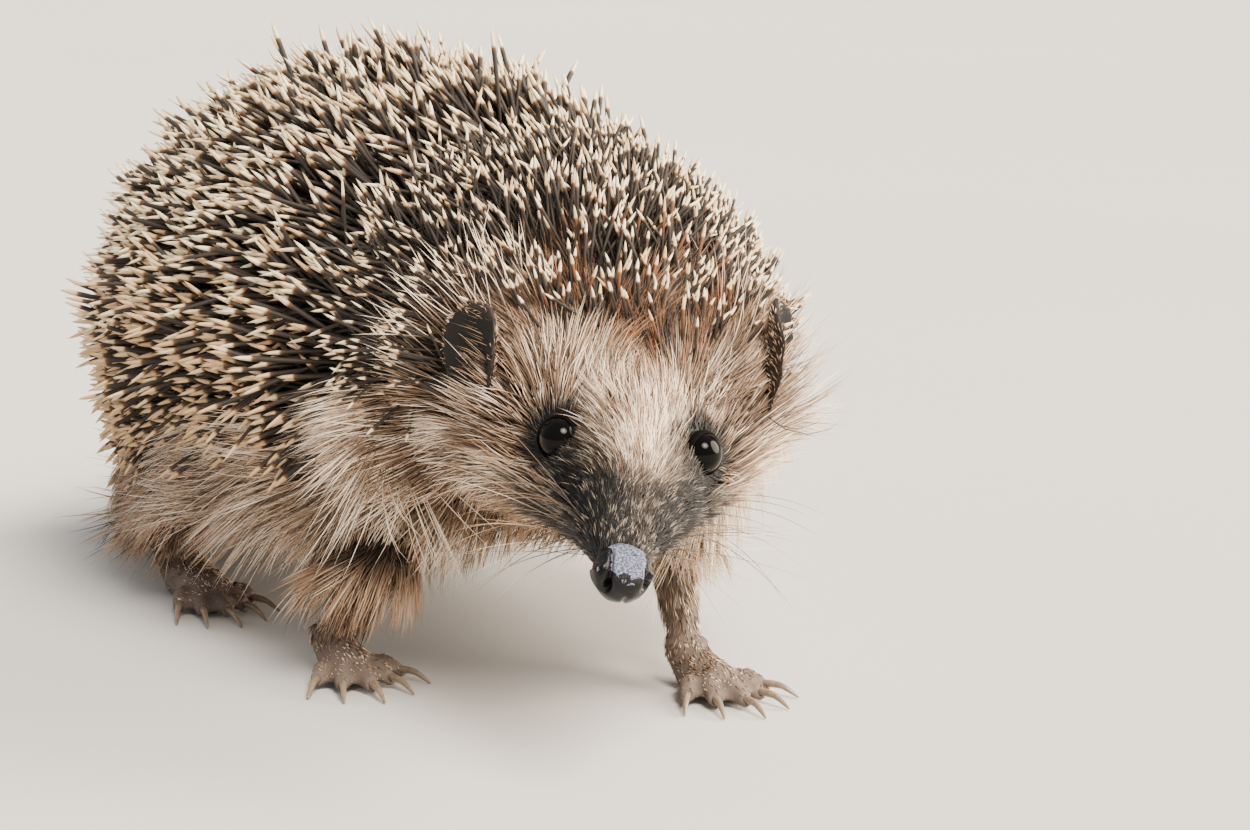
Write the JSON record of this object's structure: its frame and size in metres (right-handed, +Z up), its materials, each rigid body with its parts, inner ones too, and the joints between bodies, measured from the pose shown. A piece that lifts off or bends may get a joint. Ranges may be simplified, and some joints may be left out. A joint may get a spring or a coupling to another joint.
{
  "type": "hedgehog model",
  "caption": "Life-size still model of a European hedgehog in mid-step, head lowered and turned to its right, with a domed spiny back and a hair skirt.",
  "frame": {"origin": "on the floor, under the middle of the model's bounding box", "axes": "the trunk lies along Y with the head end at -Y; +X is the animal's left; +Z is up"},
  "size_m": [0.11, 0.2322, 0.1115],
  "materials": {
    "spines": "dense stiff spines, cream tips over dark brown bands",
    "body_hair": "long coarse grey-brown hair with pale tips",
    "face_hair": "short to medium hair, cream forehead, dark mask round the eyes",
    "leg_hair": "short flat grey-brown hair",
    "ear_skin": "thin bare dark skin",
    "foot_skin": "bare dark grey-brown skin",
    "nose_skin": "wet black granular skin",
    "eye": "wet, nearly black",
    "claw_horn": "smooth translucent horn"
  },
  "bodies": {
    "root": {"head": "face_hair", "lower_jaw": "face_hair", "nose": "nose_skin", "eye_left": "eye", "ear_left": "ear_skin", "eye_right": "eye", "ear_right": "ear_skin", "neck": "body_hair", "spiny_mantle": "spines", "underbody": "body_hair", "tail": "leg_hair", "leg_fore_left": "leg_hair", "foot_fore_left": "foot_skin", "claw_fore_left_1": "claw_horn", "claw_fore_left_2": "claw_horn", "claw_fore_left_3": "claw_horn", "claw_fore_left_4": "claw_horn", "claw_fore_left_5": "claw_horn", "leg_fore_right": "leg_hair", "foot_fore_right": "foot_skin", "claw_fore_right_1": "claw_horn", "claw_fore_right_2": "claw_horn", "claw_fore_right_3": "claw_horn", "claw_fore_right_4": "claw_horn", "claw_fore_right_5": "claw_horn", "leg_hind_left": "leg_hair", "foot_hind_left": "foot_skin", "claw_hind_left_1": "claw_horn", "claw_hind_left_2": "claw_horn", "claw_hind_left_3": "claw_horn", "claw_hind_left_4": "claw_horn", "claw_hind_left_5": "claw_horn", "leg_hind_right": "leg_hair", "foot_hind_right": "foot_skin", "claw_hind_right_1": "claw_horn", "claw_hind_right_2": "claw_horn", "claw_hind_right_3": "claw_horn", "claw_hind_right_4": "claw_horn", "claw_hind_right_5": "claw_horn"}
  },
  "joints": []
}
